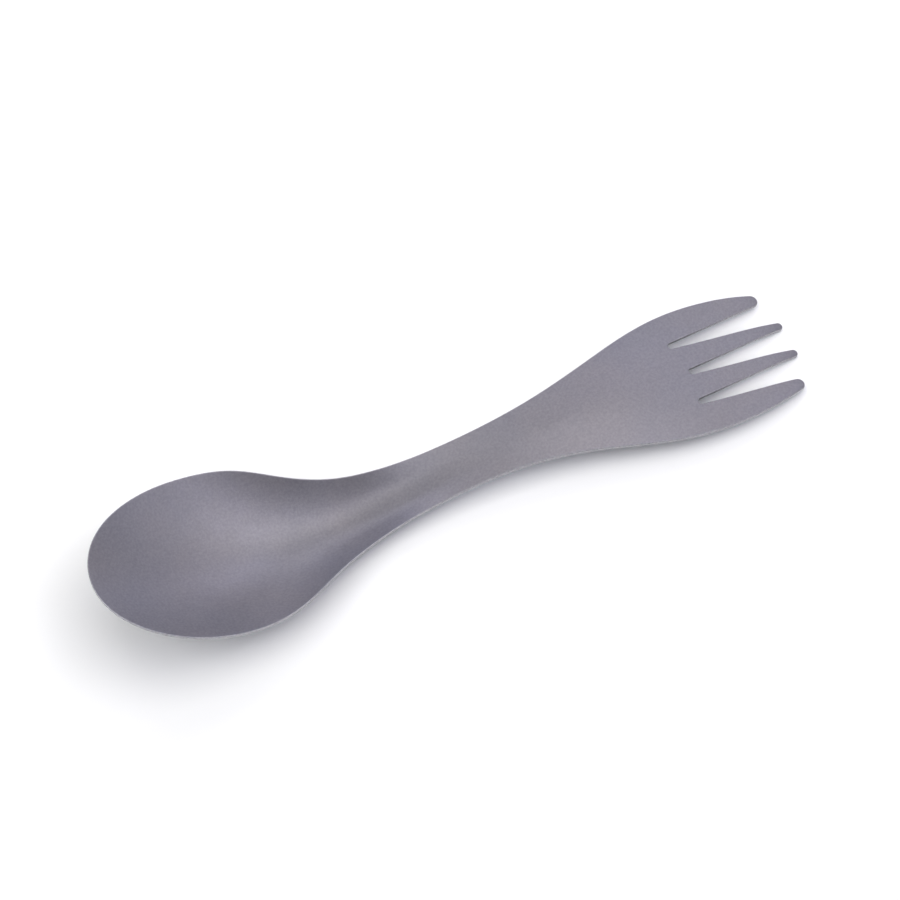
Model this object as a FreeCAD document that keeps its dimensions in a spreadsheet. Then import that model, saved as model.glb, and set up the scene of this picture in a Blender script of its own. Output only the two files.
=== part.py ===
import FreeCAD, Part

import math
import os

import Sketcher
from FreeCAD import Vector

# Two-ended camping spork, pressed in one piece from titanium sheet: a spoon
# bowl at -X, a four-tined fork at +X and a grooved handle between them.
# Frame: millimetres, X along the spork, Y across it, Z up.  The origin is on
# the surface that the spork lies on, half-way along its length and width.
#
# It is built the way the real one is made.  A blank with the finished plan
# outline is cut out (the body "blank"), a sheet is pressed between dies (the
# feature "pressed_sheet"), and the spork is what the two have in common.

PRISM_DEPTH = 80.0      # the blank is cut far above and below the sheet
SHEET_MARGIN = 3.0      # the pressed sheet runs this far past the outline
LENGTH_STEP = 3.0       # spacing of the die's points along the spork
FINE_STEP = 0.6         # spacing across it, where the handle is creased
WIDE_STEP = 2.2         # spacing across it, towards the rims
CREASE_REACH = 6.6      # half-width of the finely spaced strip

# ---------------------------------------------------------------- dimensions
# Distances called ..._at are measured along the spork from the bowl's tip.
DIMENSIONS = {
    "length": 165.0,
    "bowl_width": 39.1,
    "waist_width": 12.1,
    "fork_width": 30.8,
    "gauge": 0.9,               # thickness of the titanium sheet
    "bowl_widest_at": 27.8,
    "waist_at": 85.0,
    "fork_widest_at": 142.7,
    # how far each outline curve leaves its end along the tangent there
    "bowl_nose_pull": 11.0,
    "bowl_front_pull": 15.4,
    "bowl_back_pull": 20.5,
    "waist_bowl_pull": 40.0,
    "waist_fork_pull": 29.0,
    "fork_back_pull": 19.0,
    # centres and radii of the rounded tine tips and slot roots
    "outer_tip_at": 161.15,
    "outer_tip_off": 11.45,
    "outer_tip_radius": 1.42,
    "inner_tip_off": 3.7,
    "inner_tip_radius": 0.92,
    "outer_root_at": 139.1,
    "outer_root_off": 7.5,
    "centre_root_at": 140.5,
    "root_radius": 0.73,
}

# The die's shape at its stations: the distance from the bowl's tip, the
# height of the upper face on the centre line, the steepness of the flanks
# (negative where the strip is crowned), the half-width of the flat floor
# between the creases, and how softly the flanks turn out of that floor.
STATIONS = {
    "front": (-4.0, 24.55, 0.70, 0.0, 20.0),
    "tip": (0.0, 21.8, 0.71, 0.0, 20.0),
    "nose": (10.0, 15.15, 0.74, 0.0, 21.5),
    "bowl_front": (20.0, 9.3, 0.795, 0.0, 20.5),
    "bowl_middle": (28.0, 5.5, 0.875, 0.0, 19.8),
    "bowl_back": (42.0, 1.5, 0.98, 0.0, 14.1),
    "heel": (50.0, 0.974, 0.943, 0.0, 9.7),
    "neck": (57.0, 1.014, 0.8, 2.0, 4.8),
    "groove_start": (65.0, 2.26, 0.69, 2.8, 1.95),
    "groove": (73.0, 3.85, 0.44, 2.1, 1.2),
    "grip": (81.0, 5.58, 0.195, 1.65, 0.92),
    "waist": (90.0, 6.95, 0.055, 0.93, 0.7),
    "handle": (104.0, 8.2, -0.09, 0.44, 0.94),
    "shoulder": (115.0, 8.1, -0.145, 0.0, 3.2),
    "palm": (125.0, 7.27, -0.178, 0.0, 8.8),
    "roots": (137.0, 5.61, -0.054, 0.0, 11.0),
    "tines": (150.0, 3.65, 0.047, 0.0, 12.0),
    "points": (160.0, 2.2, 0.055, 0.0, 12.0),
    "back": (169.0, -0.585, 0.08, 0.0, 12.0),
}
STATION_VALUES = ("at", "height", "slope", "floor", "turn")


def fill_sheet(doc):
    """Put every driving dimension in the sheet, one alias to a row."""
    sheet = doc.addObject("Spreadsheet::Sheet", "Dims")
    rows = list(DIMENSIONS.items())
    for name, values in STATIONS.items():
        rows += [(f"die_{name}_{key}", value) for key, value in zip(STATION_VALUES, values)]
    for row, (name, value) in enumerate(rows, start=1):
        sheet.set(f"A{row}", name)
        sheet.set(f"B{row}", str(value))
        sheet.setAlias(f"B{row}", name)
    doc.recompute()
    return sheet


# ------------------------------------------------------------ outline sketch
class Outline:
    """Half of the plan outline, as a sketch whose sizes are sheet cells."""

    def __init__(self, sketch, sheet):
        self.sketch = sketch
        self.sheet = sheet

    def value(self, expression):
        """The number that an expression of sheet cells stands for."""
        return float(self.sheet.evalExpression(expression.replace("Dims.", "")))

    def drive(self, kind, *place, by):
        """Add a constraint whose size follows an expression."""
        index = self.sketch.addConstraint(Sketcher.Constraint(kind, *place, self.value(by)))
        self.sketch.setExpression(f"Constraints[{index}]", by)

    def pin(self, geometry, point, across, along=None):
        """Fix a point by its distance along X, and along Y or on the axis."""
        self.drive("DistanceX", -1, 1, geometry, point, by=across)
        if along is None:
            self.sketch.addConstraint(Sketcher.Constraint("PointOnObject", geometry, point, -1))
        else:
            self.drive("DistanceY", -1, 1, geometry, point, by=along)

    def meet(self, kind, first, first_point, second, second_point):
        """Join two ends, either just touching or running on smoothly."""
        self.sketch.addConstraint(
            Sketcher.Constraint(kind, first, first_point, second, second_point))

    def curve(self, poles):
        """A cubic curve by its four poles; returns it and its last two poles."""
        points = [Vector(self.value(x), self.value(y), 0) for x, y in poles]
        spline = Part.BSplineCurve()
        spline.buildFromPolesMultsKnots(points, [4, 4], [0, 1], False, 3)
        index = self.sketch.addGeometry(spline, False)
        self.sketch.exposeInternalGeometry(index)
        first_pole = index + 1
        for number, (x, y) in enumerate(poles):
            pole = first_pole + number
            if x == "0":
                self.sketch.addConstraint(Sketcher.Constraint("PointOnObject", pole, 3, -2))
            else:
                self.drive("DistanceX", -1, 1, pole, 3, by=x)
            if y == "0":
                self.sketch.addConstraint(Sketcher.Constraint("PointOnObject", pole, 3, -1))
            else:
                self.drive("DistanceY", -1, 1, pole, 3, by=y)
        return index

    def arc(self, centre_x, centre_y, radius, start, end):
        """An arc drawn anticlockwise from start to end, in degrees."""
        circle = Part.Circle(Vector(centre_x, centre_y, 0), Vector(0, 0, 1), radius)
        turned = Part.ArcOfCircle(circle, math.radians(start), math.radians(end))
        return self.sketch.addGeometry(turned, False)

    def line(self, start, end):
        return self.sketch.addGeometry(Part.LineSegment(Vector(*start, 0), Vector(*end, 0)), False)


def draw_outline(sketch, sheet):
    """The half outline from the bowl's tip round to the centre slot's root."""
    plan = Outline(sketch, sheet)
    bowl_half, waist_half, fork_half = (
        "Dims.bowl_width / 2", "Dims.waist_width / 2", "Dims.fork_width / 2")
    plan.curve([
        ("0", "0"),
        ("0", "Dims.bowl_nose_pull"),
        ("Dims.bowl_widest_at - Dims.bowl_front_pull", bowl_half),
        ("Dims.bowl_widest_at", bowl_half)])
    plan.curve([
        ("Dims.bowl_widest_at", bowl_half),
        ("Dims.bowl_widest_at + Dims.bowl_back_pull", bowl_half),
        ("Dims.waist_at - Dims.waist_bowl_pull", waist_half),
        ("Dims.waist_at", waist_half)])
    fork_back = plan.curve([
        ("Dims.waist_at", waist_half),
        ("Dims.waist_at + Dims.waist_fork_pull", waist_half),
        ("Dims.fork_widest_at - Dims.fork_back_pull", fork_half),
        ("Dims.fork_widest_at", fork_half)])

    size = sheet.get
    tip, inner = size("outer_tip_radius"), size("inner_tip_radius")
    root = size("root_radius")
    inner_tip_at = size("length") - inner
    side_radius = 68.0      # first guess; the tangency at both ends settles it
    side = plan.arc(size("fork_widest_at"), size("fork_width") / 2 - side_radius,
                    side_radius, 75, 90)
    outer_tip = plan.arc(size("outer_tip_at"), size("outer_tip_off"), tip, -86, 75)
    outer_root = plan.arc(size("outer_root_at"), size("outer_root_off"), root, 94, 265)
    inner_tip = plan.arc(inner_tip_at, size("inner_tip_off"), inner, -86, 86)
    centre_root = plan.arc(size("centre_root_at"), 0, root, 94, 180)
    outer_side = plan.line((size("outer_root_at"), size("outer_root_off") + root),
                           (size("outer_tip_at"), size("outer_tip_off") - tip))
    inner_side = plan.line((size("outer_root_at"), size("outer_root_off") - root),
                           (inner_tip_at, size("inner_tip_off") + inner))
    slot_side = plan.line((size("centre_root_at"), root),
                          (inner_tip_at, size("inner_tip_off") - inner))
    axis = plan.line((size("centre_root_at") - root, 0), (0, 0))

    plan.drive("DistanceX", -1, 1, side, 3, by="Dims.fork_widest_at")
    plan.meet("Coincident", side, 2, fork_back, 2)
    for arc, across, along, radius in (
            (outer_tip, "Dims.outer_tip_at", "Dims.outer_tip_off", "Dims.outer_tip_radius"),
            (inner_tip, "Dims.length - Dims.inner_tip_radius", "Dims.inner_tip_off",
             "Dims.inner_tip_radius"),
            (outer_root, "Dims.outer_root_at", "Dims.outer_root_off", "Dims.root_radius"),
            (centre_root, "Dims.centre_root_at", None, "Dims.root_radius")):
        plan.pin(arc, 3, across, along)
        plan.drive("Radius", arc, by=radius)
    for first, first_point, second, second_point in (
            (side, 1, outer_tip, 2), (outer_tip, 1, outer_side, 2),
            (outer_side, 1, outer_root, 1), (outer_root, 2, inner_side, 1),
            (inner_side, 2, inner_tip, 2), (inner_tip, 1, slot_side, 2),
            (slot_side, 1, centre_root, 1)):
        plan.meet("Tangent", first, first_point, second, second_point)
    sketch.addConstraint(Sketcher.Constraint("PointOnObject", centre_root, 2, -1))
    plan.meet("Coincident", axis, 1, centre_root, 2)
    plan.meet("Coincident", axis, 2, -1, 1)


def origin_plane(body, role):
    return next(plane for plane in body.Origin.OriginFeatures if plane.Role == role)


def cut_blank(doc, sheet):
    """The blank: half the outline padded, then mirrored across the XZ plane."""
    body = doc.addObject("PartDesign::Body", "blank")
    sketch = body.newObject("Sketcher::SketchObject", "half_outline")
    sketch.AttachmentSupport = [(origin_plane(body, "XY_Plane"), "")]
    sketch.MapMode = "FlatFace"
    draw_outline(sketch, sheet)
    doc.recompute()
    if sketch.solve() != 0:
        raise RuntimeError("the half outline does not solve")
    pad = body.newObject("PartDesign::Pad", "half_blank")
    pad.Profile = sketch
    pad.Length = PRISM_DEPTH
    pad.Midplane = True
    mirror = body.newObject("PartDesign::Mirrored", "whole_blank")
    mirror.Originals = [pad]
    mirror.MirrorPlane = (origin_plane(body, "XZ_Plane"), [""])
    body.Tip = mirror
    body.setExpression("Placement.Base.x", "-Dims.length / 2")
    return body


# -------------------------------------------------------------- pressed sheet
def smooth_line(stations, column, convert=lambda value: value):
    """A smooth curve of one station value against distance."""
    line = Part.BSplineCurve()
    points = [Vector(station[0], convert(station[column]), 0) for station in stations]
    line.interpolate(Points=points, Parameters=[station[0] for station in stations])
    return line


class Die:
    """Height of the upper face of the sheet over any point of the plan."""

    def __init__(self, sheet):
        rows = [[sheet.get(f"die_{name}_{key}") for key in STATION_VALUES] for name in STATIONS]
        self.height = smooth_line(rows, 1)
        self.slope = smooth_line(rows, 2)
        self.floor = smooth_line(rows, 3)
        self.turn = smooth_line(rows, 4, math.log)

    def upper(self, at, across):
        height, slope = self.height.value(at).y, self.slope.value(at).y
        floor = max(self.floor.value(at).y, 0.0)
        turn = math.exp(self.turn.value(at).y)
        left = math.hypot(across - floor, turn)
        right = math.hypot(across + floor, turn)
        return Vector(at, across, height + slope * ((left + right) / 2 - math.hypot(floor, turn)))

    def lower(self, at, across, gauge):
        """The point one gauge below the upper face, square to it."""
        step = 0.01
        along = self.upper(at + step, across) - self.upper(at - step, across)
        aside = self.upper(at, across + step) - self.upper(at, across - step)
        normal = along.cross(aside)
        normal.normalize()
        return self.upper(at, across) - normal * gauge


def die_grid(sheet):
    """Where the die is sampled: evenly along, and finer near the creases."""
    length, half = sheet.get("length"), sheet.get("bowl_width") / 2 + SHEET_MARGIN
    count = math.ceil((length + 2 * SHEET_MARGIN) / LENGTH_STEP)
    along = [-SHEET_MARGIN + (length + 2 * SHEET_MARGIN) * i / count for i in range(count + 1)]
    fine = round(CREASE_REACH / FINE_STEP)
    wide = math.ceil((half - CREASE_REACH) / WIDE_STEP)
    side = [CREASE_REACH * i / fine for i in range(1, fine + 1)]
    side += [CREASE_REACH + (half - CREASE_REACH) * i / wide for i in range(1, wide + 1)]
    return along, [-y for y in reversed(side)] + [0.0] + side


def rim_curves(surface):
    """The four border curves of a surface."""
    first_u, last_u, first_v, last_v = surface.bounds()
    return [surface.uIso(first_u), surface.uIso(last_u),
            surface.vIso(first_v), surface.vIso(last_v)]


def press_sheet(doc, sheet):
    """The pressed sheet, closed between its upper and its lower face."""
    die, gauge = Die(sheet), sheet.get("gauge")
    along, across = die_grid(sheet)
    faces = []
    for point in (die.upper, lambda at, y: die.lower(at, y, gauge)):
        surface = Part.BSplineSurface()
        surface.interpolate([[point(at, y) for y in across] for at in along])
        faces.append(surface)
    upper, lower = faces
    rims = [Part.makeRuledSurface(high.toShape(), low.toShape())
            for high, low in zip(rim_curves(upper), rim_curves(lower))]
    shell = Part.makeShell([surface.toShape() for surface in faces] + rims)
    shell.sewShape()
    solid = Part.makeSolid(shell)
    if solid.Volume < 0:
        solid.reverse()
    pressed = doc.addObject("Part::Feature", "pressed_sheet")
    pressed.Shape = solid
    pressed.Placement = FreeCAD.Placement(
        Vector(-sheet.get("length") / 2, 0, 0), FreeCAD.Rotation())
    return pressed


# ---------------------------------------------------------------------- spork
def main():
    doc = FreeCAD.newDocument("camping_spork")
    sheet = fill_sheet(doc)
    blank = cut_blank(doc, sheet)
    pressed = press_sheet(doc, sheet)
    spork = doc.addObject("Part::Common", "spork")
    spork.Base = blank
    spork.Tool = pressed
    doc.recompute()

    for item in doc.Objects:
        if "Invalid" in item.State or "Error" in item.State:
            raise RuntimeError(f"{item.Name} failed: {item.State}")
    shape = spork.Shape
    if shape.isNull() or not shape.isValid() or len(shape.Solids) != 1:
        raise RuntimeError("the spork is not one valid solid")

    os.makedirs("parts", exist_ok=True)
    shape.exportStep(f"parts/{spork.Label}.step")
    box = shape.optimalBoundingBox()
    print(f"{spork.Label}: volume {shape.Volume:.1f} mm3, X {box.XMin:.2f} to {box.XMax:.2f}, "
          f"Y {box.YMin:.2f} to {box.YMax:.2f}, Z {box.ZMin:.3f} to {box.ZMax:.3f}")


main()
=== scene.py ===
# %% [markdown]
# # A one-piece camping spork
#
# The real spork is one strip of titanium sheet.  A flat blank is cut to the
# outline, the blank is pressed between two dies, its cut edge is tumbled round,
# and the whole piece is bead-blasted to a satin grey.  This lesson makes it in
# the same order: outline, blank, press, finish.  The CAD model is loaded first,
# because it fixes where the spork lies and how large it is.

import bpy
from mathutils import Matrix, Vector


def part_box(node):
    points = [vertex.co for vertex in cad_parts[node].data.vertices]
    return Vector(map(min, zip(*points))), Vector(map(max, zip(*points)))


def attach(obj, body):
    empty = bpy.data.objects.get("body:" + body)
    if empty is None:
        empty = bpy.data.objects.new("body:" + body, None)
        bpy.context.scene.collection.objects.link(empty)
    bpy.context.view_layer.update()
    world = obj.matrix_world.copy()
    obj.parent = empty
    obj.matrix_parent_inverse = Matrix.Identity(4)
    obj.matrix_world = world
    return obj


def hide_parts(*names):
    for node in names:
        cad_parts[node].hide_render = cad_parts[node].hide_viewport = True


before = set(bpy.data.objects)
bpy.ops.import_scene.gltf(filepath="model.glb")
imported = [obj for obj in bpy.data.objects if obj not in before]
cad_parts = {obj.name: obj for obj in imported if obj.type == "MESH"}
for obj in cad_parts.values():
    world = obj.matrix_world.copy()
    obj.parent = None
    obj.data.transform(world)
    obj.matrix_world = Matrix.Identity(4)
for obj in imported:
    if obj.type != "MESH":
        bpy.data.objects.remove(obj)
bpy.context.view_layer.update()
node_low, node_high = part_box("spork")
print("CAD box, mm:", [round(1000 * (b - a), 2) for a, b in zip(node_low, node_high)])

# %% Modules and units
import math

import bpy
import numpy as np
from mathutils import Vector
from mathutils.geometry import delaunay_2d_cdt

MM = 0.001                              # the plan is drawn in millimetres
LENGTH = (node_high.x - node_low.x) / MM
BOWL_WIDTH = (node_high.y - node_low.y) / MM

# %% [markdown]
# ## The outline
#
# Only half of the outline is drawn, on the +Y side, starting at the bowl's tip;
# the other half is its mirror image.  The bowl, the waist and the palm are three
# cubic curves that leave and arrive with level tangents, so each needs only its
# two ends and two pulls.  The tines are straight lines between small circles:
# a round tip, a round slot root, and the line that touches both.
# Distances "at" are measured along the spork from the bowl's tip, and "off" are
# measured from its centre line.

# %% Sizes of the outline
WAIST_HALF, FORK_HALF = 6.05, 15.4
BOWL_WIDEST_AT, WAIST_AT, FORK_WIDEST_AT = 27.8, 85.0, 142.7
NOSE_PULL, BOWL_FRONT_PULL, BOWL_BACK_PULL = 11.0, 15.4, 20.5
WAIST_BOWL_PULL, WAIST_FORK_PULL, FORK_BACK_PULL = 40.0, 29.0, 19.0
OUTER_TIP, OUTER_TIP_RADIUS = np.array([161.15, 11.45]), 1.42
INNER_TIP_OFF, INNER_TIP_RADIUS = 3.7, 0.92
INNER_TIP = np.array([LENGTH - INNER_TIP_RADIUS, INNER_TIP_OFF])
OUTER_ROOT, CENTRE_ROOT, ROOT_RADIUS = np.array([139.1, 7.5]), np.array([140.5, 0.0]), 0.73
OUTLINE_STEP = 0.7                      # spacing of the outline's points
ARC_STEP = math.radians(13)             # and of the small arcs' points


# %% Curves that the outline is made of
def cubic(start, leave, arrive, end):
    """Evenly spaced points of a cubic curve, without its last one."""
    t = np.linspace(0, 1, 400)[:, None]
    start, leave, arrive, end = (np.array(p, float) for p in (start, leave, arrive, end))
    dense = ((1 - t) ** 3 * start + 3 * t * (1 - t) ** 2 * leave
             + 3 * t ** 2 * (1 - t) * arrive + t ** 3 * end)
    run = np.append(0, np.cumsum(np.linalg.norm(np.diff(dense, axis=0), axis=1)))
    wanted = np.linspace(0, run[-1], math.ceil(run[-1] / OUTLINE_STEP), endpoint=False)
    return np.column_stack([np.interp(wanted, run, dense[:, axis]) for axis in (0, 1)])


def arc(centre, radius, first, last, step):
    """Points of an arc between two angles, without its last one."""
    count = max(2, math.ceil(abs(last - first) / step))
    turn = np.linspace(first, last, count, endpoint=False)[:, None]
    return centre + radius * np.hstack([np.cos(turn), np.sin(turn)])


def straight(start, end):
    """Points of a line, without its last one."""
    count = math.ceil(np.linalg.norm(end - start) / OUTLINE_STEP)
    return start + np.linspace(0, 1, count, endpoint=False)[:, None] * (end - start)


def touching_line(tip, tip_radius, root, root_radius, side):
    """The direction square to the line that touches both circles between them.

    side is 1 where the line runs above the slot's root and below the tip, and
    -1 where it runs below the root and above the tip.
    """
    apart = tip - root
    lean = math.acos((tip_radius + root_radius) / np.linalg.norm(apart))
    return math.atan2(apart[1], apart[0]) + side * lean


# %% The half outline, joined from its pieces
def half_outline():
    """Half of the outline, from the bowl's tip round to the middle slot's root."""
    bowl_half = BOWL_WIDTH / 2
    bowl_end, waist, palm_end = (
        (BOWL_WIDEST_AT, bowl_half), (WAIST_AT, WAIST_HALF), (FORK_WIDEST_AT, FORK_HALF))
    # the palm's side runs on as one large arc that touches the outer tine's tip
    reach, drop = OUTER_TIP[0] - FORK_WIDEST_AT, FORK_HALF - OUTER_TIP[1]
    side_radius = ((reach ** 2 + drop ** 2 - OUTER_TIP_RADIUS ** 2)
                   / (2 * (drop - OUTER_TIP_RADIUS)))
    side_centre = np.array([FORK_WIDEST_AT, FORK_HALF - side_radius])
    side_end = math.atan2(*(OUTER_TIP - side_centre)[::-1])

    outer = touching_line(OUTER_TIP, OUTER_TIP_RADIUS, OUTER_ROOT, ROOT_RADIUS, 1)
    inner = touching_line(INNER_TIP, INNER_TIP_RADIUS, OUTER_ROOT, ROOT_RADIUS, -1)
    middle = touching_line(INNER_TIP, INNER_TIP_RADIUS, CENTRE_ROOT, ROOT_RADIUS, 1)
    away = {name: np.array([math.cos(turn), math.sin(turn)])
            for name, turn in (("outer", outer), ("inner", inner), ("middle", middle))}
    return np.vstack([
        cubic((0, 0), (0, NOSE_PULL), (BOWL_WIDEST_AT - BOWL_FRONT_PULL, bowl_half), bowl_end),
        cubic(bowl_end, (BOWL_WIDEST_AT + BOWL_BACK_PULL, bowl_half),
              (WAIST_AT - WAIST_BOWL_PULL, WAIST_HALF), waist),
        cubic(waist, (WAIST_AT + WAIST_FORK_PULL, WAIST_HALF),
              (FORK_WIDEST_AT - FORK_BACK_PULL, FORK_HALF), palm_end),
        arc(side_centre, side_radius, math.pi / 2, side_end, OUTLINE_STEP / side_radius),
        arc(OUTER_TIP, OUTER_TIP_RADIUS, side_end, outer - math.pi, ARC_STEP),
        straight(OUTER_TIP - OUTER_TIP_RADIUS * away["outer"],
                 OUTER_ROOT + ROOT_RADIUS * away["outer"]),
        arc(OUTER_ROOT, ROOT_RADIUS, outer, inner + 2 * math.pi, ARC_STEP),
        straight(OUTER_ROOT + ROOT_RADIUS * away["inner"],
                 INNER_TIP - INNER_TIP_RADIUS * away["inner"]),
        arc(INNER_TIP, INNER_TIP_RADIUS, inner + math.pi, middle - math.pi, ARC_STEP),
        straight(INNER_TIP - INNER_TIP_RADIUS * away["middle"],
                 CENTRE_ROOT + ROOT_RADIUS * away["middle"]),
        arc(CENTRE_ROOT, ROOT_RADIUS, middle, math.pi, ARC_STEP),
        CENTRE_ROOT - (ROOT_RADIUS, 0)])


half = half_outline()
outline = np.vstack([half, half[-2:0:-1] * (1, -1)])
print("outline:", len(outline), "points, clockwise from the bowl's tip")

# %% [markdown]
# ## The flat blank
#
# The blank is a flat mesh that the press will bend, so its points have to be
# where the metal needs them: rings close together at the rim, where the tumbled
# edge is rounded, and an even field of points inside.  The rings are the outline
# moved inwards.  A filled curve would give long thin triangles with no points
# inside, so the field is joined up by Delaunay triangulation instead.

# %% Rings along the rim
GAUGE = 0.9                             # the thickness of the sheet
EDGE_RADIUS = 0.22                      # the tumbled edge
ROUND_STEPS = 5
FIELD_STEP = 0.75                       # spacing of the points inside
FIELD_GAP = 0.45                        # least distance from the last ring

along = np.roll(outline, -1, axis=0) - np.roll(outline, 1, axis=0)
inwards = np.column_stack([along[:, 1], -along[:, 0]])
inwards /= np.linalg.norm(inwards, axis=1)[:, None]
round_angles = np.linspace(math.pi / 2, 0, ROUND_STEPS + 1)
depths = list(EDGE_RADIUS * (1 - np.sin(round_angles))) + [2 * EDGE_RADIUS]
rings = [outline + depth * inwards for depth in depths]
print("rings:", len(rings), "to a depth of", round(depths[-1], 2), "mm")


# %% The field of points inside the last ring
def distance_inside(points, loop):
    """How far each point lies inside a closed loop; negative outside it."""
    ends = np.roll(loop, -1, axis=0)
    span = ends - loop
    nearest = np.full(len(points), np.inf)
    crossings = np.zeros(len(points), int)
    for start, end, step in zip(loop, ends, span):
        offset = points - start
        share = np.clip(offset @ step / (step @ step), 0, 1)
        nearest = np.minimum(nearest, np.linalg.norm(offset - share[:, None] * step, axis=1))
        straddles = (start[1] > points[:, 1]) != (end[1] > points[:, 1])
        if step[1]:
            meets = start[0] + (points[:, 1] - start[1]) * step[0] / step[1]
            crossings += straddles & (points[:, 0] < meets)
    return np.where(crossings % 2 == 1, nearest, -nearest)


row_step = FIELD_STEP * math.sqrt(3) / 2
rows = math.ceil(BOWL_WIDTH / 2 / row_step)
field = np.array([
    (across + (row % 2) * FIELD_STEP / 2, row * row_step)
    for row in range(-rows, rows + 1)
    for across in np.arange(0, LENGTH + FIELD_STEP, FIELD_STEP)])
inside = distance_inside(field, rings[-1])
field, inside = field[inside > FIELD_GAP], inside[inside > FIELD_GAP]
print("field:", len(field), "points")


# %% Triangulate the field and join the rings to it
def join_blank():
    """The blank's points, its faces and each point's distance from the rim."""
    count = len(outline)
    last_ring = (len(rings) - 1) * count
    flat = np.vstack([rings[-1], field])
    _, _, triangles, origins, _, _ = delaunay_2d_cdt(
        [Vector(p) for p in flat], [], [list(range(count))[::-1]], 1, 1e-6)
    where = [last_ring + origin[0] for origin in origins]
    faces = [[where[corner] for corner in triangle] for triangle in triangles]
    for ring in range(len(rings) - 1):
        outer, inner = ring * count, (ring + 1) * count
        for i in range(count):
            j = (i + 1) % count
            faces.append([outer + j, outer + i, inner + i, inner + j])
    points = np.vstack(rings + [field])
    rim = np.concatenate([np.repeat(depths, count), depths[-1] + inside])
    return points, faces, rim


points, faces, rim = join_blank()
print("blank:", len(points), "points,", len(faces), "faces")

# %% [markdown]
# ## The die
#
# Pressing moves each point of the blank straight up or down to the die's face.
# The face follows one rule all the way along.  Across the spork it is a flat
# floor with two flanks that turn out of it; a hyperbola makes each turn smooth.
# Along the spork four things change: the height of the centre line, how steep
# the flanks are, how wide the floor is, and how softly the flanks turn.  In the
# bowl the turn is wide, so the section is a dish.  At the neck the floor is flat
# and the flanks are steep.  In the handle the groove fades out, and the palm of
# the fork is crowned, so its flanks fall instead of rising.
# A smooth curve through a few stations gives each of the four at every point.

# %% The stations of the die
DIE_STATIONS = [
    # at, height, slope of the flanks, half-width of the floor, softness
    (-4.0, 24.55, 0.70, 0.0, 20.0),         # past the bowl's tip
    (0.0, 21.8, 0.71, 0.0, 20.0),
    (10.0, 15.15, 0.74, 0.0, 21.5),
    (20.0, 9.3, 0.795, 0.0, 20.5),
    (28.0, 5.5, 0.875, 0.0, 19.8),          # the bowl's middle
    (42.0, 1.5, 0.98, 0.0, 14.1),
    (50.0, 0.974, 0.943, 0.0, 9.7),         # the heel, which it rests on
    (57.0, 1.014, 0.8, 2.0, 4.8),           # the neck
    (65.0, 2.26, 0.69, 2.8, 1.95),
    (73.0, 3.85, 0.44, 2.1, 1.2),           # the groove
    (81.0, 5.58, 0.195, 1.65, 0.92),
    (90.0, 6.95, 0.055, 0.93, 0.7),         # the waist
    (104.0, 8.2, -0.09, 0.44, 0.94),
    (115.0, 8.1, -0.145, 0.0, 3.2),         # the groove is gone
    (125.0, 7.27, -0.178, 0.0, 8.8),        # the palm's crown
    (137.0, 5.61, -0.054, 0.0, 11.0),
    (150.0, 3.65, 0.047, 0.0, 12.0),
    (160.0, 2.2, 0.055, 0.0, 12.0),         # the tines' points, which it rests on
    (169.0, -0.585, 0.08, 0.0, 12.0),
]


# %% Smooth curves through the stations
def smooth_through(at, values, wanted):
    """Values at the wanted places on a cubic spline with a single end piece."""
    gap = np.diff(at)
    rise = np.diff(values) / gap
    size = len(at)
    system, right = np.zeros((size, size)), np.zeros(size)
    for i in range(1, size - 1):
        system[i, i - 1:i + 2] = gap[i - 1], 2 * (gap[i - 1] + gap[i]), gap[i]
        right[i] = 6 * (rise[i] - rise[i - 1])
    system[0, :2] = system[-1, -2:] = 1, -1
    bend = np.linalg.solve(system, right)
    i = np.clip(np.searchsorted(at, wanted) - 1, 0, size - 2)
    before, after = wanted - at[i], at[i + 1] - wanted
    return (bend[i] * after ** 3 / 6 + bend[i + 1] * before ** 3 / 6) / gap[i] \
        + (values[i] / gap[i] - bend[i] * gap[i] / 6) * after \
        + (values[i + 1] / gap[i] - bend[i + 1] * gap[i] / 6) * before


at, height, slope, floor, soft = np.array(DIE_STATIONS).T
die_values = {
    "die_height": smooth_through(at, height, points[:, 0]) * MM,
    "die_slope": smooth_through(at, slope, points[:, 0]),
    "die_floor": np.maximum(smooth_through(at, floor, points[:, 0]), 0) * MM,
    "die_softness": np.exp(smooth_through(at, np.log(soft), points[:, 0])) * MM,
    "rim_distance": rim * MM,
}
for name, values in die_values.items():
    print(f"{name}: {values.min():.5f} to {values.max():.5f}")

# %% The blank as a mesh, with the die's values on its points
blank_mesh = bpy.data.meshes.new("spork_blank")
placed = np.column_stack([(points[:, 0] - LENGTH / 2) * MM, points[:, 1] * MM,
                          np.zeros(len(points))])
blank_mesh.from_pydata(placed.tolist(), [], faces)
for name, values in die_values.items():
    layer = blank_mesh.attributes.new(name, "FLOAT", "POINT")
    layer.data.foreach_set("value", values.astype(np.float32))
blank = bpy.data.objects.new("spork_blank", blank_mesh)
bpy.context.scene.collection.objects.link(blank)
print("blank mesh:", len(blank_mesh.vertices), "vertices")

# %% [markdown]
# ## The press
#
# A Geometry Nodes tree does the pressing, because the shape follows a rule and a
# tree keeps the rule's sizes as named inputs that can be changed by hand.  It
# lifts the flat blank to the die's face, makes the sheet's gauge by extruding it
# straight down, and rounds both rims.  The blank was cut before it was pressed,
# so both faces keep the same outline and everything moves only up or down.

# %% Small helpers for building a tree
tree = bpy.data.node_groups.new("press_sheet", "GeometryNodeTree")


def add_node(kind, inputs=(), **settings):
    """A node with its settings, and its inputs given as values or as sockets."""
    node = tree.nodes.new(kind)
    for name, value in settings.items():
        setattr(node, name, value)
    for key, value in dict(inputs).items():
        if isinstance(value, bpy.types.NodeSocket):
            tree.links.new(value, node.inputs[key])
        else:
            node.inputs[key].default_value = value
    return node


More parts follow.
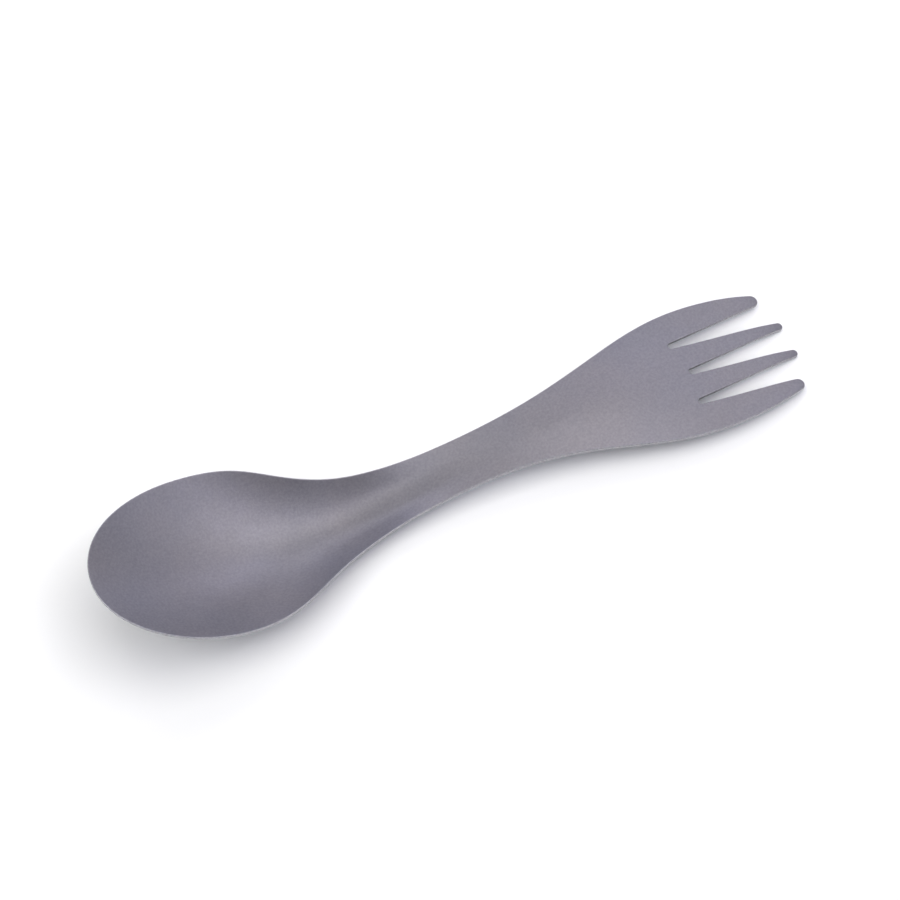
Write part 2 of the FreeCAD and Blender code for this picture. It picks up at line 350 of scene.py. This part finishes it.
def calc(operation, *values):
    """One step of arithmetic on numbers or sockets."""
    return add_node("ShaderNodeMath", enumerate(values), operation=operation).outputs[0]


def attribute(name):
    """The blank's stored value of that name at each point."""
    return add_node("GeometryNodeInputNamedAttribute", {"Name": name},
                    data_type="FLOAT").outputs["Attribute"]


def straight_up(amount):
    """A vector of that length along Z."""
    return add_node("ShaderNodeCombineXYZ", {"Z": amount}).outputs[0]


# %% Inputs of the press
tree.interface.new_socket("Geometry", in_out="INPUT", socket_type="NodeSocketGeometry")
tree.interface.new_socket("Geometry", in_out="OUTPUT", socket_type="NodeSocketGeometry")
PRESS_SIZES = {"Gauge": GAUGE * MM, "Edge radius": EDGE_RADIUS * MM, "Flank lift": 1.0}
for name, start in PRESS_SIZES.items():
    size_input = tree.interface.new_socket(
        name, in_out="INPUT", socket_type="NodeSocketFloat")
    size_input.default_value = start
tree.interface.new_socket("Material", in_out="INPUT", socket_type="NodeSocketMaterial")
given = tree.nodes.new("NodeGroupInput").outputs
result = tree.nodes.new("NodeGroupOutput")
print("inputs of the press:", [socket.name for socket in given if socket.name])

# %% The rule of the die's face
flat_position = add_node("GeometryNodeInputPosition").outputs[0]
plan = add_node("ShaderNodeSeparateXYZ", {0: flat_position}).outputs
die_floor, die_softness = attribute("die_floor"), attribute("die_softness")


def flank_run(offset):
    """The hyperbola that turns smoothly from level to a flank."""
    run = add_node("ShaderNodeCombineXYZ", {"X": offset, "Y": die_softness}).outputs[0]
    return add_node("ShaderNodeVectorMath", {0: run}, operation="LENGTH").outputs["Value"]


both_flanks = calc("ADD", flank_run(calc("SUBTRACT", plan["Y"], die_floor)),
                   flank_run(calc("ADD", plan["Y"], die_floor)))
flank_rise = calc("SUBTRACT", calc("MULTIPLY", both_flanks, 0.5), flank_run(die_floor))
steepness = calc("MULTIPLY", attribute("die_slope"), given["Flank lift"])
die_face = calc("ADD", attribute("die_height"), calc("MULTIPLY", flank_rise, steepness))
pressed = add_node("GeometryNodeSetPosition", {
    "Geometry": given["Geometry"], "Offset": straight_up(die_face)})

# %% Gauge and rounding, measured straight down
# On a slope a vertical cut through the sheet is longer than its gauge.
lean = add_node("ShaderNodeSeparateXYZ", {
    0: add_node("GeometryNodeInputNormal").outputs[0]}).outputs["Z"]
to_round = calc(
    "MAXIMUM", calc("SUBTRACT", given["Edge radius"], attribute("rim_distance")), 0.0)
radius_squared = calc("MULTIPLY", given["Edge radius"], given["Edge radius"])
chord = calc("SQRT", calc("MAXIMUM", calc(
    "SUBTRACT", radius_squared, calc("MULTIPLY", to_round, to_round)), 0.0))
rounding = calc("DIVIDE", calc("SUBTRACT", given["Edge radius"], chord), lean)
thickness = calc("DIVIDE", given["Gauge"], lean)
kept = pressed.outputs[0]
for name, value in (("rounding", rounding), ("thickness", thickness)):
    kept = add_node("GeometryNodeStoreNamedAttribute", {
        "Geometry": kept, "Name": name, "Value": value},
        data_type="FLOAT", domain="POINT").outputs[0]

# %% Upper face, lower face and cut edge
upper = add_node("GeometryNodeSetPosition", {
    "Geometry": kept,
    "Offset": straight_up(calc("MULTIPLY", attribute("rounding"), -1.0))}).outputs[0]
thickened = add_node("GeometryNodeExtrudeMesh", {
    "Mesh": upper, "Offset Scale": 0.0, "Individual": False}, mode="FACES")
wall = calc("SUBTRACT", calc("MULTIPLY", attribute("rounding"), 2.0), attribute("thickness"))
lower = add_node("GeometryNodeSetPosition", {
    "Geometry": thickened.outputs["Mesh"], "Selection": thickened.outputs["Top"],
    "Offset": straight_up(wall)}).outputs[0]
turned_over = add_node("GeometryNodeFlipFaces", {"Mesh": lower}).outputs[0]
joined = add_node("GeometryNodeJoinGeometry")
for part in (turned_over, upper):
    tree.links.new(part, joined.inputs[0])
welded = add_node("GeometryNodeMergeByDistance", {
    "Geometry": joined.outputs[0], "Distance": 0.000001}).outputs[0]

# %% Finish the tree
smooth = add_node("GeometryNodeSetShadeSmooth", {
    "Geometry": welded, "Shade Smooth": True}).outputs[0]
real = add_node("GeometryNodeRealizeInstances", {"Geometry": smooth}).outputs[0]
finished = add_node("GeometryNodeSetMaterial", {
    "Geometry": real, "Material": given["Material"]})
tree.links.new(finished.outputs[0], result.inputs[0])
print("press:", len(tree.nodes), "nodes")

# %% [markdown]
# ## The finish
#
# Bead-blasting leaves titanium covered in fine shallow dimples.  Seen from arm's
# length it is a satin grey with a faint violet cast, and no sharp reflection.
# Four sizes of noise make it: dimples as bump, a fine grain in the colour, a
# coarser mottle in the roughness, and a slow drift from cool to warm.  The cut
# edge has been rubbed in the tumbler and in use, so near the rim the metal is
# smoother; there the colour is also lifted to a much brighter grey, a painted
# highlight for the light that the rounded edge catches.  The rim's distance was
# stored on the points, and the shader reads it.

# %% Sizes and colours of the finish
DIMPLE_SCALE, GRAIN_SCALE, MOTTLE_SCALE, DRIFT_SCALE = 3600.0, 1900.0, 420.0, 45.0
DIMPLE_DEPTH, DIMPLE_STRENGTH = 0.04 * MM, 0.5
COOL_GREY, WARM_GREY = (0.198, 0.193, 0.222), (0.208, 0.198, 0.220)
# the rim's colour: rubbed metal, and a much brighter grey that is a painted highlight on the
# rounded edge
RUBBED_EDGE_AND_PAINTED_SHEEN = (0.46, 0.46, 0.48)
DARK_FLECK, BRIGHT_FLECK = (0.91, 0.91, 0.92), (1.09, 1.09, 1.07)
SMOOTHEST, ROUGHEST, RUBBED_SMOOTHER = 0.46, 0.52, 0.12

# %% The material, and helpers for its nodes
titanium = bpy.data.materials.new("bead_blasted_titanium")
titanium.use_nodes = True
tree = titanium.node_tree
tree.nodes.clear()


def blend_colours(factor, first, second):
    """Two colours mixed by a factor."""
    mix = add_node("ShaderNodeMix", {"Factor": factor}, data_type="RGBA")
    for socket, colour in zip((mix.inputs[6], mix.inputs[7]), (first, second)):
        if isinstance(colour, bpy.types.NodeSocket):
            tree.links.new(colour, socket)
        else:
            socket.default_value = (*colour, 1.0)
    return mix.outputs[2]


def noise(scale, detail):
    """Noise fixed to the metal; the scale is in waves to the metre."""
    return add_node("ShaderNodeTexNoise", {
        "Vector": place, "Scale": scale, "Detail": detail}).outputs[0]


def remap(value, low, high, to_low, to_high):
    """A value moved from one range to another, and held inside it."""
    return add_node("ShaderNodeMapRange", {
        0: value, 1: low, 2: high, 3: to_low, 4: to_high}).outputs[0]


# %% Blasted titanium
place = add_node("ShaderNodeTexCoord").outputs["Object"]
dimples, grain, mottle, drift = (
    noise(scale, 2.0) for scale in (DIMPLE_SCALE, GRAIN_SCALE, MOTTLE_SCALE, DRIFT_SCALE))
rim_here = add_node("ShaderNodeAttribute", attribute_name="rim_distance").outputs["Fac"]
# mask near the rim: it makes the metal smoother (rubbed) and drives a painted highlight in the
# colour
rubbed_and_painted_sheen = calc("MULTIPLY", remap(rim_here, 0.0, EDGE_RADIUS * MM, 1.0, 0.0),
              remap(grain, 0.3, 0.7, 0.5, 1.0))

grey = blend_colours(remap(drift, 0.35, 0.65, 0.0, 1.0), COOL_GREY, WARM_GREY)
speckle = calc("ADD", calc("MULTIPLY", grain, 0.75), calc("MULTIPLY", mottle, 0.25))
fleck = blend_colours(remap(speckle, 0.35, 0.65, 0.0, 1.0), DARK_FLECK, BRIGHT_FLECK)
blasted = add_node("ShaderNodeMix", {"Factor": 1.0, 6: grey, 7: fleck},
                   data_type="RGBA", blend_type="MULTIPLY").outputs[2]
# near the rim the colour is lifted to a bright grey: a painted highlight on the edge, not only
# wear
colour = blend_colours(rubbed_and_painted_sheen, blasted, RUBBED_EDGE_AND_PAINTED_SHEEN)
roughness = calc("SUBTRACT", remap(mottle, 0.3, 0.7, SMOOTHEST, ROUGHEST),
                 calc("MULTIPLY", rubbed_and_painted_sheen, RUBBED_SMOOTHER))
bump = add_node("ShaderNodeBump", {
    "Strength": DIMPLE_STRENGTH, "Distance": DIMPLE_DEPTH, "Height": dimples})
metal = add_node("ShaderNodeBsdfPrincipled", {
    "Base Color": colour, "Metallic": 1.0, "Roughness": roughness,
    "Normal": bump.outputs["Normal"]})
add_node("ShaderNodeOutputMaterial", {"Surface": metal.outputs[0]})
print("blasted titanium:", len(tree.nodes), "nodes")

# %% [markdown]
# ## Press the blank
#
# The modifier's inputs are set by their identifiers before the object is first
# evaluated.  The evaluated result becomes a plain mesh in an object of its own,
# and the blank is thrown away.

# %% Press it
blank_mesh.materials.append(titanium)
press = blank.modifiers.new("press", "NODES")
press.node_group = bpy.data.node_groups["press_sheet"]
PRESS_INPUTS = {**PRESS_SIZES, "Material": titanium}
for item in press.node_group.interface.items_tree:
    if item.in_out == "INPUT" and item.name in PRESS_INPUTS:
        press[item.identifier] = PRESS_INPUTS[item.name]
evaluated = blank.evaluated_get(bpy.context.evaluated_depsgraph_get())
spork_mesh = bpy.data.meshes.new_from_object(evaluated)
spork_mesh.name = "titanium_spork"
spork = bpy.data.objects.new("titanium_spork", spork_mesh)
bpy.context.scene.collection.objects.link(spork)
bpy.data.objects.remove(blank)
print("spork:", len(spork_mesh.vertices), "vertices,", len(spork_mesh.polygons), "faces")

# %% Hand it to the frame
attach(spork, "root")
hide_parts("spork")

# %% [markdown]
# ## Table, light and camera
#
# A satin metal shows its form by the slow change from light to dark, so the
# light is broad and comes from many sides: a tent of soft panels hung close
# round the spork, a little warm overhead and cool at the fork's end.  They hang
# close so that the light changes along the spork as well as with its tilt.  The
# table is a plain pale sheet.

# %% Table
TABLE_HALF = 1.5
PAPER_WHITE = (0.93, 0.93, 0.93, 1.0)
corners = [(x * TABLE_HALF, y * TABLE_HALF, node_low.z)
           for x, y in ((-1, -1), (1, -1), (1, 1), (-1, 1))]
table_mesh = bpy.data.meshes.new("table")
table_mesh.from_pydata(corners, [], [(0, 1, 2, 3)])
table = bpy.data.objects.new("table", table_mesh)
bpy.context.scene.collection.objects.link(table)
paper = bpy.data.materials.new("pale_paper")
paper.use_nodes = True
tree = paper.node_tree
tree.nodes.clear()
surface = add_node("ShaderNodeBsdfPrincipled", {"Base Color": PAPER_WHITE, "Roughness": 0.9})
add_node("ShaderNodeOutputMaterial", {"Surface": surface.outputs[0]})
table_mesh.materials.append(paper)
print("table:", 2 * TABLE_HALF, "m square")

# %% Surround and the helper for the panels
world = bpy.data.worlds.new("studio")
world.use_nodes = True
bpy.context.scene.world = world
surround = world.node_tree.nodes["Background"].inputs
surround["Color"].default_value = (0.96, 0.97, 1.0, 1.0)
surround["Strength"].default_value = 0.2


def panel(name, place, size, brightness, tint):
    """A square soft panel that faces the origin; brightness is its radiance."""
    light = bpy.data.lights.new(name, "AREA")
    light.shape = "SQUARE"
    light.size = size
    light.energy = brightness * math.pi * size ** 2
    light.color = tint
    lamp = bpy.data.objects.new(name, light)
    lamp.location = place
    lamp.rotation_euler = Vector(place).to_track_quat("Z", "Y").to_euler()
    bpy.context.scene.collection.objects.link(lamp)


# %% Nine soft panels: place and size in metres, brightness, tint
WARM, PLAIN, COOL = (1.02, 1.0, 0.96), (0.99, 1.0, 0.98), (0.96, 0.97, 1.12)
PANELS = {
    "overhead": ((0.0, 0.0, 0.32), 0.27, 1.53, WARM),
    "overhead_front": ((0.0, -0.18, 0.32), 0.27, 0.56, COOL),
    "overhead_back": ((0.0, 0.36, 0.32), 0.27, 1.63, WARM),
    "fork_high": ((0.275, 0.0, 0.476), 0.34, 1.30, WARM),
    "fork_front": ((0.18, -0.18, 0.32), 0.27, 1.39, COOL),
    "fork_side": ((0.36, 0.0, 0.32), 0.27, 0.81, COOL),
    "fork_back": ((0.36, 0.36, 0.32), 0.27, 2.97, COOL),
    "bowl_side": ((-0.36, 0.0, 0.32), 0.27, 3.33, PLAIN),
    "low_back": ((0.0, 0.423, 0.154), 0.26, 1.60, COOL),
}
for name, (place, size, brightness, tint) in PANELS.items():
    panel(name, place, size, brightness, tint)
print("panels:", len(PANELS))

# %% Camera
CAMERA_AZIMUTH, CAMERA_ELEVATION = math.radians(-24.84), math.radians(63.84)
CAMERA_DISTANCE = 0.709
AIM_RIGHT, AIM_UP, AIM_HEIGHT = -0.67 * MM, 4.51 * MM, 5 * MM
backwards = Vector((math.sin(CAMERA_AZIMUTH) * math.cos(CAMERA_ELEVATION),
                    -math.cos(CAMERA_AZIMUTH) * math.cos(CAMERA_ELEVATION),
                    math.sin(CAMERA_ELEVATION)))
rightwards = Vector((math.cos(CAMERA_AZIMUTH), math.sin(CAMERA_AZIMUTH), 0))
upwards = backwards.cross(rightwards)
camera_data = bpy.data.cameras.new("camera")
camera_data.sensor_width, camera_data.lens = 36, 130.9
camera = bpy.data.objects.new("camera", camera_data)
bpy.context.scene.collection.objects.link(camera)
camera.location = (Vector((0, 0, AIM_HEIGHT)) + AIM_RIGHT * rightwards + AIM_UP * upwards
                   + CAMERA_DISTANCE * backwards)
camera.rotation_euler = backwards.to_track_quat("Z", "Y").to_euler()
bpy.context.scene.camera = camera
bpy.context.scene.view_settings.view_transform = "Standard"
print("camera at, mm:", [round(value / MM) for value in camera.location])
